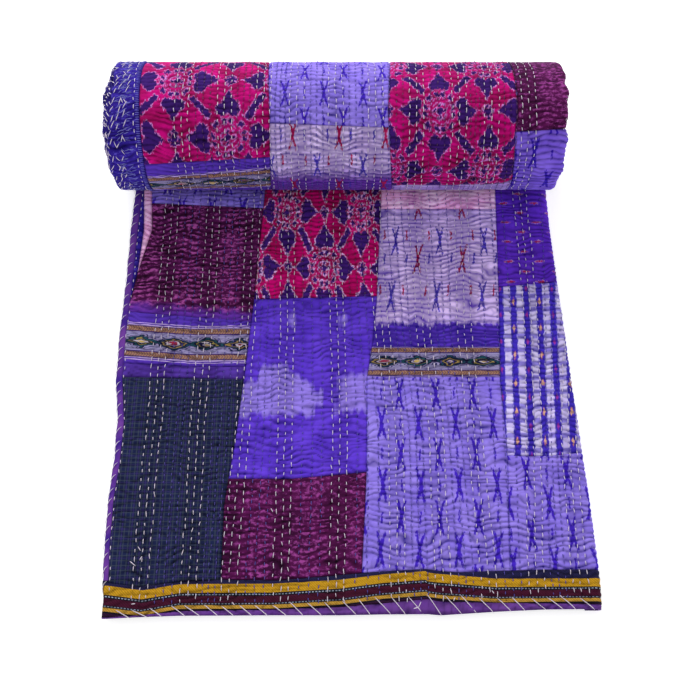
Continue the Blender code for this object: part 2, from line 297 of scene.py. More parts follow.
class Look:
    """One material and short ways to add its nodes. Colours may be given as hex codes."""

    def __init__(self, name):
        self.made = bpy.data.materials.new(name)
        self.made.use_nodes = True
        self.made.node_tree.nodes.clear()

    def put(self, kind, inputs=None, out=0, **settings):
        """Add a node with its settings and links, and hand back one of its outputs."""
        tree = self.made.node_tree
        node = tree.nodes.new("ShaderNode" + kind)
        for name, value in settings.items():
            setattr(node, name, value)
        for socket, value in (inputs or {}).items():
            if isinstance(value, bpy.types.NodeSocket):
                tree.links.new(value, node.inputs[socket])
            else:
                node.inputs[socket].default_value = srgb(value) if isinstance(value, str) else value
        return node.outputs[out] if node.outputs else node

    def uv(self):
        return self.put("UVMap", uv_map="cloth")

    def held(self, name):
        """A number that the mesh holds for each of its points."""
        return self.put("Attribute", attribute_name=name, out=2)

    def math(self, operation, *values):
        return self.put("Math", dict(enumerate(values)), operation=operation)

    def ramp(self, value, *limits):
        """Straight line between the first two limits, to 0 and 1 or to the next two."""
        return self.put("MapRange", {0: value, **dict(enumerate(limits, 1))})

    def mix(self, share, one, two, blend="MIX"):
        return self.put("Mix", {0: share, 6: one, 7: two}, out=2, data_type="RGBA",
                        blend_type=blend)

    def noise(self, place, scale, detail, roughness=0.5):
        return self.put("TexNoise", {"Vector": place, "Scale": scale, "Detail": detail,
                                     "Roughness": roughness})

    def bands(self, value, table, span):
        """Hard-edged colour bands: the table holds each band's start and colour, out of span."""
        place = self.put("ValToRGB", {0: self.math("MULTIPLY", value, 1 / span)})
        ramp = place.node.color_ramp
        ramp.interpolation = "CONSTANT"
        for number, (start, code) in enumerate(table):
            band = ramp.elements[number] if number < 2 else ramp.elements.new(start / span)
            band.position = start / span
            band.color = srgb(code)
        return place

    def surface(self, colour, roughness, grain, strength, distance, **sheen):
        """Matt surface, its grain raised by distance."""
        bump = self.put("Bump", {"Strength": strength, "Distance": distance, "Height": grain})
        shader = self.put("BsdfPrincipled", {"Base Color": colour, "Roughness": roughness,
                                             "Normal": bump})
        for name, value in sheen.items():
            shader.node.inputs[name.replace("_", " ")].default_value = value
        self.put("OutputMaterial", {"Surface": shader})
        return self.made

    def cotton(self, colour, uv, crease_shade="#8878b8", roughness=0.85, shade=(0.28, 0.75, 1.10)):
        """Shared surface of hand-quilted cotton: creases take a tinted painted shade, deepest
        below the first height in shade and gone at the second, and ridges a painted highlight,
        palest above the third; the plain weave gives a fine grain."""
        rise = self.held("rise")
        tint = self.mix(self.ramp(rise, *shade[:2]), crease_shade, MIDDLE_SHADE)
        tint = self.mix(self.ramp(rise, *shade[1:]), tint, CREST_HIGHLIGHT)
        apart = self.put("SeparateXYZ", {0: uv}).node.outputs
        warp, weft = (self.math("SINE", self.math("MULTIPLY", apart[axis],
                                                  2 * math.pi / DRAWN_THREAD)) for axis in (0, 1))
        grain = self.math("MULTIPLY_ADD", self.math("MULTIPLY", warp, weft), 0.5,
                          self.noise(uv, 900.0, 2.0))
        return self.surface(self.mix(1.0, colour, tint, "MULTIPLY"), roughness, grain, 0.5, 0.0004,
                            Sheen_Weight=0.02, Sheen_Roughness=0.5, Specular_IOR_Level=0.08)


class Cloth(NamedTuple):
    """What a printed or woven cotton shows: its ground and a second colour that drifts through it,
    flecks, up to three figures (second, motif, other) with the width of their soft edge, the
    motif's pale halo, a wash of dye over everything, the tint of the painted shade in its
    creases, and the three heights that set that painted shade and the painted highlight on
    ridges. Widths are in mm."""
    ground: str
    drift: str
    fleck: str = ""
    fleck_share: float = 0.5
    second: str = ""
    second_soft: float = 0.6
    motif: str = ""
    halo: str = ""
    halo_width: float = 1.3
    other: str = ""
    wash: str = ""
    crease_shade: str = "#8878b8"
    shade: tuple = (0.28, 0.75, 1.10)

def printed_cotton(name, cloth):
    """Plain-weave cotton, dyed or resist-printed: matt, with soft feathered motif edges."""
    look = Look(name)
    uv = look.uv()
    colour = look.mix(look.ramp(look.noise(uv, 34.0, 3.0), 0.38, 0.62), cloth.ground, cloth.drift)
    ragged = look.noise(look.put("Mapping", {0: uv, 3: (1.0, 0.35, 1.0)}), 620.0, 1.0)
    ragged = look.ramp(ragged, 0.3, 0.7, -0.9, 0.9)
    if cloth.fleck:
        fleck = look.noise(look.put("Mapping", {0: uv, 3: (1.0, 1.45, 1.0)}), 170.0, 4.0, 0.7)
        fleck = look.math("MULTIPLY_ADD", look.held("rise"), 0.42, fleck)
        edge = 0.78 + 0.24 * (1 - cloth.fleck_share)
        colour = look.mix(look.ramp(fleck, edge, edge + 0.14), colour, cloth.fleck)
    if cloth.halo:
        halo = look.math("ADD", look.held("motif"), ragged)
        halo = look.ramp(halo, -cloth.halo_width - 0.5, -cloth.halo_width + 0.3)
        broken = look.ramp(look.noise(uv, 240.0, 1.0), 0.44, 0.58, 0.15, 1.0)
        halo = look.math("MULTIPLY", halo, broken)
    soft = cloth.second_soft
    for key, code, low, high in (("second", cloth.second, -soft, soft),
                                 ("motif", cloth.motif, -0.4, 0.5),
                                 ("other", cloth.other, -0.4, 0.5)):
        if key == "motif" and cloth.halo:
            colour = look.mix(halo, colour, cloth.halo)
        if code:
            mask = look.ramp(look.math("ADD", look.held(key), ragged), low, high)
            colour = look.mix(mask, colour, code)
    if cloth.wash:
        colour = look.mix(look.held("wash"), colour, cloth.wash)
    return look.cotton(colour, uv, cloth.crease_shade, shade=cloth.shade)


def striped_weave(name, stripes, span_mm, dots):
    """Sari border, woven in silk-like filament: bands along its length, counted in mm by "down",
    with dotted threads on the named bands and a twill grain."""
    look = Look(name)
    uv = look.uv()
    down = look.held("down")
    colour = look.bands(down, stripes, span_mm)
    along = look.math("MULTIPLY", look.put("SeparateXYZ", {0: uv}), 1 / (1.9 * MM))
    spot = look.math("GREATER_THAN", look.math("PINGPONG", along, 1.0), 0.45)
    for start, end, code in dots:
        inside = look.math("COMPARE", down, (start + end) / 2, (end - start) / 2)
        colour = look.mix(look.math("MULTIPLY", inside, spot), colour, code)
    twill = look.put("TexWave", {"Vector": uv, "Scale": 210.0, "Distortion": 2.5,
                                 "Detail Scale": 2.0}, out=1, bands_direction="DIAGONAL")
    colour = look.mix(1.0, colour, look.ramp(twill, 0.0, 1.0, 0.70, 1.15), "MULTIPLY")
    return look.cotton(colour, uv, roughness=0.7)


def plaid_cotton(name):
    """Yarn-dyed cotton: near-black blue with thin olive and purple threads both ways."""
    look = Look(name)
    uv = look.uv()
    apart = look.put("SeparateXYZ", {0: uv}).node.outputs
    colour = look.mix(look.noise(uv, 60.0, 3.0), "#14183a", "#1a2448")
    for axis, pitch, offset, code in ((0, 5.6, 0.0, "#3c4450"), (0, 11.2, 2.8, "#3a2c6c"),
                                      (1, 5.6, 0.0, "#363e4c"), (1, 11.2, 2.8, "#30285c")):
        place = look.math("MULTIPLY_ADD", apart[axis], 1 / (pitch * MM), offset / pitch)
        mask = look.ramp(look.math("PINGPONG", place, 0.5), 0.02 * 11.2 / pitch,
                         0.085 * 11.2 / pitch, 0.62, 0.0)
        colour = look.mix(mask, colour, code)
    return look.cotton(colour, uv, "#343460")


def ikat_band(name):
    """Ikat sari border: lilac edge lines, gold chevrons, a grey-lilac field and lozenges of
    teal, cream and red down the middle, every edge feathered along the threads."""
    look = Look(name)
    uv = look.uv()
    off = look.math("ABSOLUTE", look.held("across"))
    colour = look.bands(off, (
        (0.0, "#8e86b0"), (9.4, "#5a4a80"), (10.0, "#8e86b0"), (11.6, "#3a2468"),
        (12.8, "#947058"), (18.4, "#3a2468"), (19.6, "#b8a0d4"), (20.8, "#4c2ca4"),
        (22.2, "#b8a0d4"), (23.2, "#5030a8")), 32.0)
    nest = look.held("nest")
    outer = ((0.90, "#8e86b0"), (1.00, "#2c2a54"), (1.08, "#8e86b0"), (1.24, "#5c5c80"),
             (1.32, "#8e86b0"))
    cream = look.bands(nest, ((0.0, "#b89c5c"), (0.15, "#b0a8b8"), (0.26, "#181638"),
                              (0.42, "#8a7c40"), (0.50, "#181638"), (0.60, "#1c4450"),
                              (0.78, "#181638"), *outer), 1.6)
    red = look.bands(nest, ((0.0, "#8a2644"), (0.20, "#b0a4b0"), (0.32, "#181638"),
                            (0.48, "#8a7440"), (0.58, "#181638"), (0.70, "#1c3c50"),
                            (0.80, "#181638"), *outer), 1.6)
    lozenges = look.mix(look.ramp(look.held("red"), -1.0, 1.0), cream, red)
    inside = look.math("MULTIPLY", look.ramp(nest, 1.48, 1.54, 1.0, 0.0),
                       look.ramp(off, 8.8, 9.2, 1.0, 0.0))
    colour = look.mix(inside, colour, lozenges)
    gold = 15.6
    bent = look.math("MULTIPLY", look.math("ABSOLUTE", look.math("SUBTRACT", off, gold)), 0.26)
    slant = look.math("MULTIPLY_ADD", look.put("SeparateXYZ", {0: uv}), 1 / (3.4 * MM), bent)
    slash = look.ramp(look.math("PINGPONG", slant, 0.5), 0.16, 0.24, 0.75, 0.0)
    mask = look.math("MULTIPLY", slash, look.math("COMPARE", off, gold, 2.8))
    return look.cotton(look.mix(mask, colour, "#5c3450"), uv)


def thread_material(name, code):
    """Matt two-ply cotton sewing thread: its twist shows as a slight change of tone."""
    look = Look(name)
    twist = look.noise(look.put("TexCoord", out=3), 700.0, 2.0)
    colour = look.mix(1.0, code, look.ramp(twist, 0.3, 0.7, 0.75, 1.1), "MULTIPLY")
    return look.surface(colour, 0.8, twist, 0.4, 0.0002, Sheen_Weight=0.2)


def grid_quads(rows, columns, first=0):
    """Corner numbers of a grid's quads, its points numbered row by row."""
    r, c = np.meshgrid(np.arange(rows - 1), np.arange(columns - 1), indexing="ij")
    corner = (first + r * columns + c).ravel()
    return np.stack([corner, corner + 1, corner + columns + 1, corner + columns], axis=-1)


def make_piece(name, points, quads, finish, uv=None, values=None):
    """A mesh object from whole arrays: corner points, quads, UVs for each point in metres of
    cloth, and named numbers for each point."""
    points = np.ascontiguousarray(points, dtype=np.float32).reshape(-1, 3)
    mesh = bpy.data.meshes.new(name)
    mesh.vertices.add(len(points))
    mesh.vertices.foreach_set("co", points.ravel())
    mesh.loops.add(quads.size)
    mesh.loops.foreach_set("vertex_index", quads.astype(np.int32).ravel())
    mesh.polygons.add(len(quads))
    mesh.polygons.foreach_set("loop_start", np.arange(0, quads.size, 4, dtype=np.int32))
    if uv is not None:
        layer = mesh.uv_layers.new(name="cloth")
        layer.data.foreach_set("uv", uv.reshape(-1, 2)[quads.ravel()].astype(np.float32).ravel())
    for key, found in (values or {}).items():
        held = mesh.attributes.new(key, "FLOAT", "POINT")
        held.data.foreach_set("value", np.asarray(found, dtype=np.float32).ravel())
    mesh.update(calc_edges=True)
    mesh.shade_smooth()
    mesh.materials.append(finish)
    piece = bpy.data.objects.new(name, mesh)
    bpy.context.scene.collection.objects.link(piece)
    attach(piece, "root")
    return piece


def ikat_step(u, v, amount, seed, aside=0.6):
    """Threads slip before weaving, so a motif's edge jumps by up to amount, in mm, every 2.4 mm."""
    slip = np.random.default_rng(seed).uniform(-1, 1, 400)
    return (u + aside * amount * slip[np.floor(v / 2.4).astype(int) % 400],
            v + amount * slip[np.floor(u / 2.4).astype(int) % 400])


def box_distance(a, b, half_a, half_b):
    return np.minimum(half_a - np.abs(a), half_b - np.abs(b))


def heart_motif(u, v, origin, pitch):
    """Rosettes and small flowers on a checkerboard of cells, a heart between each pair with its
    lobes towards the rosette, and a bar across each cell corner. Distances in mm, inside > 0."""
    pulled = 3.6 * value_noise(u / 34.0, v / 40.0, 71)
    v = v + 4.2 * value_noise(u / 38.0, v / 34.0, 72)
    u, v = ikat_step(u + pulled, v, 1.5, 21)
    px = (u - origin[0]) / pitch[0]
    py = (v - origin[1]) / pitch[1]
    da = wrap((px + py) / 2, 1)
    db = wrap((px - py) / 2, 1)
    dx = np.abs(da + db)
    dy = np.abs(da - db)
    t = np.maximum(dx, dy)
    w = np.minimum(dx, dy)
    lobe = 0.118 - np.hypot(t - 0.475, w - 0.10)
    point = np.minimum((0.79 - t) * 0.62 - w, t - 0.46) * 0.85
    bar_t = (dx + dy) / math.sqrt(2)
    bar_w = np.abs(dx - dy) / math.sqrt(2)
    bar = np.minimum(0.056 - bar_w, bar_t - 0.46)
    radius = np.hypot(dx, dy)
    core = np.maximum(0.060 - radius, 0.026 - np.hypot(t - 0.095, w))
    ring = box_distance(t - 0.272, w - 0.058, 0.036, 0.040)
    corner = box_distance(bar_t - 0.31, bar_w, 0.038, 0.050)
    far = 1 - t
    flower = np.maximum(0.062 - np.hypot(far, w), 0.030 - np.hypot(far - 0.090, w))
    flower = np.maximum(flower, 0.024 - np.hypot(far - 0.06, w - 0.06))
    motif = np.max([lobe, point, bar, core, ring, corner, flower], axis=0) * 66
    lace = np.maximum(0.014 - np.abs(radius - 0.135), 0.010 - np.abs(radius - 0.215)) * 66
    return {"motif": motif, "second": lace - 0.3}


def tall_cross(du, dv, half_width, half_height, thread):
    """Hourglass cross: two arms part from a short stem at its middle, above and below."""
    reach = np.abs(dv) / half_height
    arm = half_width * np.clip((reach - 0.12) / 0.88, 0, 1)
    stroke = thread * (1.35 - 0.60 * reach) - np.abs(np.abs(du) - arm)
    return np.minimum(stroke, (half_height - np.abs(dv)) * 0.6)


def staggered(u, v, origin, pitch):
    """Offsets from the nearest motif of a half-drop repeat, and from the midpoints beside it."""
    row = np.round((v - origin[1]) / pitch[1])
    shift = origin[0] + 0.5 * pitch[0] * (row % 2)
    return wrap(u - shift, pitch[0]), v - origin[1] - pitch[1] * row


def cross_motif(u, v, origin, pitch, half_width=4.8, half_height=21.5, thread=1.75):
    """Tall crosses in a half-drop repeat with a short tick midway between neighbours."""
    u, v = ikat_step(u, v, 1.6, 22, 0.20)
    du, dv = staggered(u, v, origin, pitch)
    motif = tall_cross(du, dv, half_width, half_height, thread)
    for lift in (-1, 1):
        du2, dv2 = staggered(u, v + lift * pitch[1], origin, pitch)
        dv2 = dv2 - lift * pitch[1]
        motif = np.maximum(motif, tall_cross(du2, dv2, half_width, half_height, thread))
    tick = box_distance(np.abs(du) - pitch[0] / 2, dv, 1.10, 7.5)
    return {"motif": np.maximum(motif, tick)}


def two_cross_motif(u, v, blue, red, pitch_u, period, fade_at, fade_side=1, tall=22.0):
    """Blue crosses and red crosses in rows by turns, each with ticks of the other colour beside
    them, on cloth that fades to deep violet past fade_at. No red row lies next to the fade."""
    clear = fade_side * (v - fade_at)
    u, v = ikat_step(u, v, 1.6, 23, 0.25)
    found = {}
    ticks = {}
    for key, origin, lift in (("blue", blue, 9.0), ("red", red, 0.0)):
        du = wrap(u - origin[0], pitch_u)
        dv = wrap(v - origin[1], period)
        found[key] = tall_cross(du, dv, 4.5, tall, 1.35)
        ticks[key] = box_distance(np.abs(du) - 0.25 * pitch_u, dv - fade_side * lift, 1.1, 8.0)
    if fade_side > 0:
        found["red"] = np.where(clear < 58, -5.0, found["red"])
        ticks["red"] = np.where(clear < 36, -5.0, ticks["red"])
        ticks["blue"] = np.where(clear < 8, -5.0, ticks["blue"])
    feathers = 4 * value_noise(u / 1.7, v / 26, 24) + 3 * value_noise(u / 11, v / 26, 25)
    return {"other": np.maximum(found["blue"], ticks["red"]),
            "motif": np.maximum(found["red"], ticks["blue"]), "second": feathers - clear}


def lens_motif(u, v):
    """Small red lenses across the threads in a half-drop repeat, each with a pale outline."""
    du, dv = staggered(u, v, (231.0, 522.0), (41.0, 15.4))
    span = 1 - np.abs(du / 7.4) ** 1.6
    return {"motif": np.clip(1.9 * span - np.abs(dv) - 0.4, -6, 3)}


def check_motif(u, v):
    """Blue-violet stripes along the cloth, faint lines across it, and long small diamonds on the
    stripes: cream ones and magenta ones on every other stripe."""
    place = u - 234.0 - 0.050 * (v - 430.0)
    index = np.round(place / 17.0)
    du = place - 17.0 * index
    line = wrap(v - 311.0, 19.4)
    stripe = 4.2 - np.abs(du) + 0.5 * value_noise(u / 3, v / 5, 32)
    across = np.clip(3.9 - np.abs(line) + 0.5 * value_noise(u / 5, v / 2, 33), 0, 1)
    dv = wrap(v - 361.0 - 19.3 * (index % 2), 38.6)
    diamond = 1.9 - np.abs(du) - 0.36 * np.abs(dv)
    magenta = index % 2 == 1
    return {"second": stripe, "motif": np.where(magenta, -5.0, diamond),
            "other": np.where(magenta, diamond, -5.0),
            "wash": np.where(stripe > 0, 0.0, 0.72 * across)}


def blob_motif(u, v):
    """Pale clouds with stepped tops where the dye was tied off, and two small pale spots."""
    ragged = 5.5 * value_noise(u / 2.6, v / 22.0, 31)
    top = np.interp(u, [-120, -96, -95, -60, -58, -44, -43, -28], [286, 288, 306, 309, 298, 296,
                                                                    289, 286])
    left = np.minimum(np.minimum(top - v, v - 241.5), -26.0 - u)
    right = np.minimum(np.minimum(294 - v + 0.12 * (u - 6), v - 245.0), u - 4.0)
    faint = np.minimum(np.minimum(276 - v, v - 250.0), -14.0 - u) - 3.0
    spots = [3.5 - np.hypot((u - x) / 0.8, (v - y) / 1.7) for x, y in ((-55, 371), (9, 373))]
    return {"second": np.max([left, right, faint, *spots], axis=0) + ragged}


def band_motif(u, v, middle, start, side):
    """Ikat border about its middle line, across being the distance from it in mm. Nested
    lozenges, red and cream by turns, lie 42 mm apart: nest is 0 in the middle of one and 1 at
    its outline, and red is above 0 nearest a red one."""
    off = side * (v - middle) + 0.35 * value_noise(u / 9.0, v / 3.0, 27)
    red = np.abs(wrap(u - start, 84.0))
    away = np.minimum(red, 42 - red) / 21
    streak = 2.1 * value_noise(u / 16.0, v / 1.5, 28) + 0.8 * value_noise(u / 4.5, v / 1.3, 29)
    return {"across": off, "nest": (np.abs(off) + streak) / 9.2 + 0.72 * away, "red": 21 - red}


def plum_motif(u, v):
    """Plum cloth whose lower edge turns violet."""
    low = line_at(((-272, 386), (-108, 372)), u)
    return {"wash": np.clip((17 - v + low + 4 * value_noise(u / 7, v / 9, 34)) / 13, 0, 1)}


def no_motif(u, v):
    return {}


CLOTHS = {
    "heart_ikat": Cloth("#b80472", "#900450", second="#b070c0", second_soft=0.6, motif="#341462",
                        halo="#c480cc", halo_width=1.1, crease_shade="#743870", shade=(0.25, 0.80, 1.06)),
    # Lighter copy of heart_ikat for the tail: partly painted light, brightened against the roll's
    # shadow that falls on it, and partly a wider, paler halo
    "heart_ikat_lit": Cloth("#c80470", "#9c0450", second="#d49ce0", second_soft=0.6,
                             motif="#3e1a72", halo="#dcb0ea", halo_width=1.6, crease_shade="#743870",
                             shade=(0.25, 0.80, 1.10)),
    "periwinkle": Cloth("#8e7adc", "#7c68d0", motif="#3c20b0", crease_shade="#5848a8"),
    "periwinkle_deep": Cloth("#785cce", "#684cc0", motif="#3018a0", crease_shade="#5848a8"),
    "lavender": Cloth("#dcc2fa", "#c8aef0", second="#5030b4", second_soft=3.0, motif="#a81254",
                      other="#4c3ab8", crease_shade="#7a5cc4", shade=(0.40, 0.98, 1.14)),
    # Darker copy of lavender for the roll's lower front: its darker ground and broad crease shade
    # are painted shade, and its fade to violet is partly the cloth's dye and partly painted shade of
    # the roll's underside
    "lavender_shaded": Cloth("#ceb8e8", "#bca2de", second="#6a38ac", second_soft=14.0,
                             motif="#a81254", other="#4c3ab8", crease_shade="#6444b0",
                             shade=(0.20, 0.95, 1.12)),
    "plum": Cloth("#561450", "#3a0a34", fleck="#a04894", fleck_share=0.54, wash="#5c2c9c",
                  crease_shade="#483858"),
    "plum_red": Cloth("#54104a", "#3c0a36", fleck="#8c3a84", fleck_share=0.48, crease_shade="#503c5c"),
    "violet": Cloth("#5e3aca", "#502eba", second="#8a74d8", second_soft=3.6, crease_shade="#4c3c98"),
    "violet_plain": Cloth("#52349c", "#442886", crease_shade="#504090"),
    "lavender_plain": Cloth("#b8a0de", "#a080cc", crease_shade="#7868b0"),
    "periwinkle_plain": Cloth("#8c78dc", "#7a68cc", crease_shade="#6050b0"),
    "deep_violet": Cloth("#4c28a4", "#3f1c90", crease_shade="#7060a8"),
    "lens_purple": Cloth("#5c2cc0", "#4e22ac", motif="#941c54", halo="#a87cb8", halo_width=0.9,
                         crease_shade="#6c5ca8"),
    "check": Cloth("#cec4ee", "#b8aae2", second="#3c2ab0", second_soft=0.8, motif="#d0a088",
                   halo="#b05a5c", halo_width=0.5, other="#94309a", wash="#5c4cc0",
                   crease_shade="#7868b4"),
    "pink": Cloth("#ffd6fa", "#ffb8ee", crease_shade="#b468c0", shade=(0.35, 0.90, 1.10)),
    "ultramarine": Cloth("#301e8c", "#241478", fleck="#4c40ac", fleck_share=0.22,
                         crease_shade="#504488"),
    "purple_binding": Cloth("#663c8a", "#583080", crease_shade="#8070b0"),
    # Brighter copy of the purple binding for the side hem: painted light, lifted against the roll's
    # shadow over the hem
    "purple_hem_lit": Cloth("#7e46ae", "#48289c", crease_shade="#7060a8"),
    "backing": Cloth("#4a28b0", "#3c1f98", crease_shade="#8878b8"),
    "border_ground": Cloth("#1d1a3c", "#2a2358"),
}


class Patch(NamedTuple):
    """One piece of the patchwork: its fabric, the names of the lines at its left and right, its
    lower and upper seam as points (x, distance) in mm, and the grid step. On the roll distances
    are angles from its foot, in degrees."""
    name: str
    cloth: str
    left: str
    right: str
    low: tuple
    high: tuple
    step: float
    motif: object = no_motif


DEGREE = math.radians(1) * ROLL_MEAN / MM          # mm of the roll's face for each degree
ROLL_SEWN = 320 * DEGREE                           # the left end is sewn this far round

BORDER_TOP = ((-262, 37.5), (-223, 31.7), (-185, 35.7), (-129, 38.5), (-67, 37.3), (31, 45.5),
              (105, 49.5), (144, 45.5), (202, 45.6), (300, 45.6))
CREVICE = ((-300, 604), (300, 604))
GOLD_TOP = tuple(zip(FRONT["x"] / MM, FRONT["gold"] / MM))
BINDING_TOP = tuple(zip(FRONT["x"] / MM, FRONT["binding"] / MM))

# Slivers of two more fabrics by the side hem, as (distance, x) in mm
SLIVERS = {
    "strip": ((0, -290), (385, -290), (405, -267.5), (448, -262.0), (511, -259.5), (574, -264.9),
              (610, -266.6)),
    "wedge": ((0, -290), (385, -290), (405, -267.5), (448, -261.5), (511, -248.6), (574, -253.9),
              (610, -255.0)),
}

# Cross seams between the tail's patches, as points (x, distance) in mm
PLUM_TOP = ((-252, 554), (-97, 546))
IKAT_TOP = ((-272, 386), (-108, 372))
IKAT_LOW = ((-273, 312.5), (-185, 307.5), (-114, 307))
PLAID_TOP = ((-273, 292.7), (-118, 290))
HEARTS_LOW = ((-106, 404.4), (54.4, 408.8))
CLOUDS_LOW = ((-124, 159.3), (-50, 159.3), (37.5, 167.6))
PINK_LOW = ((55, 544.5), (225, 544.5))
FADE_LOW = ((50, 334.7), (212, 334.7))
BAND_LOW = ((40, 293.4), (208, 293.4))
LENS_LOW = ((211.5, 422), (290, 430))
CHECK_LOW = ((209, 188.5), (263, 188), (299, 193))

TAIL_PATCHES = (
    Patch("sliver_blue", "ultramarine", "hem", "strip", ((-300, 404), (300, 404)), CREVICE, PLAIN),
    Patch("sliver_pink", "pink", "strip", "wedge", ((-300, 446), (300, 446)), CREVICE, PLAIN),
    Patch("strip_periwinkle", "periwinkle", "wedge", "one", PLUM_TOP, CREVICE, FINE,
          lambda u, v: cross_motif(u, v, (-190, 588), (42, 47))),
    Patch("plum_left", "plum", "wedge", "one", ((-272, 386), (-108, 369)), PLUM_TOP, PLAIN,
          plum_motif),
    Patch("ikat_band_left", "ikat_band", "hem", "one", IKAT_LOW, IKAT_TOP, FINE,
          lambda u, v: band_motif(u, v, np.interp(u, (-272, -185, -115), (344.4, 337.5, 338.1)),
                                  -206.0, 0.87)),
    Patch("violet_left", "violet_plain", "hem", "one", PLAID_TOP, IKAT_LOW, PLAIN),
    Patch("plaid_left", "plaid", "hem", "one", BORDER_TOP, PLAID_TOP, PLAIN),
    Patch("hearts_tail", "heart_ikat_lit", "one", "two", HEARTS_LOW, CREVICE, FINE,
          lambda u, v: heart_motif(u, v, (-64, 540), (50, 89))),
    Patch("violet_clouds", "violet", "one", "two", CLOUDS_LOW, HEARTS_LOW, PLAIN, blob_motif),
    Patch("plum_middle", "plum_red", "one", "two", BORDER_TOP, CLOUDS_LOW, PLAIN),
    Patch("strip_pink", "pink", "two", "three", PINK_LOW, CREVICE, PLAIN),
    Patch("crosses_tail", "lavender", "two", "three", FADE_LOW, PINK_LOW, FINE,
          lambda u, v: two_cross_motif(u + 0.10 * np.clip(493 - v, 0, 120), v, (141, 493),
                                       (113, 550), 59.5, 85.0, 367)),
    Patch("ikat_band_right", "ikat_band", "two", "three", BAND_LOW, FADE_LOW, FINE,
          lambda u, v: band_motif(u, v, 314.0, 62.0, 1)),
    Patch("crosses_big", "periwinkle", "two", "three", BORDER_TOP, BAND_LOW, FINE,
          lambda u, v: cross_motif(u + 0.06 * np.clip(140 - v, 0, 90), v, (103, 230),
                                   (45.6, 39.6))),
    Patch("lenses", "lens_purple", "three", "fold", LENS_LOW, CREVICE, FINE, lens_motif),
    Patch("check", "check", "three", "fold", CHECK_LOW, LENS_LOW, FINE, check_motif),
    Patch("crosses_right", "periwinkle", "three", "fold", BORDER_TOP, CHECK_LOW, FINE,
          lambda u, v: cross_motif(u, v, (230.5, 166), (48.0, 38.0))),
)

# Seams round the roll, each as (angle, x) from its foot to the crevice
ROLL_SEAMS = (
    ((0, -247), (153, -247), (203, -245), (235, -243.5), (360, -245)),
    ((0, -88), (145, -86), (203, -82), (237, -82.5), (287, -85), (360, -88)),
    ((0, 72), (145, 71), (203, 66.3), (237, 69.5), (287, 75), (360, 78)),
    ((0, 224), (145, 227), (203, 229), (220, 226), (273, 230), (360, 231)),
)


def level(angle):
    return ((-300, angle), (310, angle))


# Cross seams between the roll's patches, as points (x, angle)
ROLL_IKAT_TOP = ((-247, 252), (-83, 244))
ROLL_FADE_TOP = ((-83, 213), (69, 217))
ROLL_STRIP_TOP = ((73, 283.7), (210, 281), (229, 273))
ROLL_PLUM_LOW = ((228, 220.6), (291, 218))
FOOT = level(-4)
BACK_LEFT = level(84)
BACK_MIDDLE = level(62)
BACK_RIGHT = level(75)
HIDDEN = level(322)

ROLL_PATCHES = (
    Patch("roll_hearts_left", "heart_ikat", "s0", "s1", BACK_LEFT, ROLL_IKAT_TOP, FINE,
          lambda u, v: heart_motif(u, v, (-200, 251.6), (68, 78))),
    Patch("roll_ikat_band", "ikat_band", "s0", "s1", ROLL_IKAT_TOP, HIDDEN, FINE,
          lambda u, v: band_motif(u, v, 404.3 - 0.108 * (u + 165), -118.0, -1)),
    Patch("roll_crosses", "periwinkle", "s1", "s2", BACK_MIDDLE, ROLL_FADE_TOP, FINE,
          lambda u, v: cross_motif(u, v, (-14, 272), (49, 39), 5.2, 19.0, 1.4)),
    # The fade past 384 mm is partly the cloth's dye and partly painted shade of the roll's underside
    Patch("roll_crosses_lavender", "lavender_shaded", "s1", "s2", ROLL_FADE_TOP, HIDDEN, FINE,
          lambda u, v: two_cross_motif(u, v, (-23, 370), (5, 327), 58.5, 85.0, 384, -1, 18.5)),
    Patch("roll_hearts_right", "heart_ikat", "s2", "s3", BACK_LEFT, ROLL_STRIP_TOP, FINE,
          lambda u, v: heart_motif(u, v, (129.5, 297.6), (62, 79))),
    Patch("roll_strip_lavender", "lavender_plain", "s2", "s3", ROLL_STRIP_TOP, HIDDEN, PLAIN),
    Patch("roll_plum", "plum_red", "s3", "right", BACK_RIGHT, ROLL_PLUM_LOW, PLAIN),
    Patch("roll_crosses_right", "periwinkle_deep", "s3", "right", ROLL_PLUM_LOW, HIDDEN, FINE,
          lambda u, v: cross_motif(u, v, (252, 352), (45.5, 47.0))),
    Patch("roll_end_left", "ultramarine", "left", "s0", FOOT, HIDDEN, PLAIN),
    Patch("back_violet", "violet_plain", "s0", "s1", FOOT, BACK_LEFT, COARSE),
    Patch("back_plum", "plum", "s1", "s2", FOOT, BACK_MIDDLE, COARSE),
    Patch("back_periwinkle", "periwinkle_plain", "s2", "s3", FOOT, BACK_LEFT, COARSE),
    Patch("back_deep_violet", "deep_violet", "s3", "right", FOOT, BACK_RIGHT, COARSE),
)


def rim_at(v):
    """The roll's left rim at distance v round it, in mm."""
    angle = v * MM / ROLL_MEAN
    return roll_end(-1, outer_radius(angle), angle) / MM


def hem_width(s):
    return np.interp(s, [0.0, 0.14, 0.22, 0.45, 0.56], [0.0078, 0.0080, 0.0095, 0.0102, 0.0115])


def tail_line(name, v):
    """One of the tail's lines along its length at distance v, in mm: the inside of the side hem,
    the slivers' edges, the three seams, and the patchwork's end under the right fold."""
    s = v * MM
    hem = edge_x("left", s) + hem_width(s) - 0.0012
    if name == "hem":
        return hem / MM
    if name in SLIVERS:
        return np.maximum(line_at(SLIVERS[name], v), hem / MM)
    if name == "fold":
        return (edge_x("right", s) + FOLD_RADIUS * (math.pi - 1) + 0.010) / MM
    return column(SEAMS, "from_front", name, s) / MM


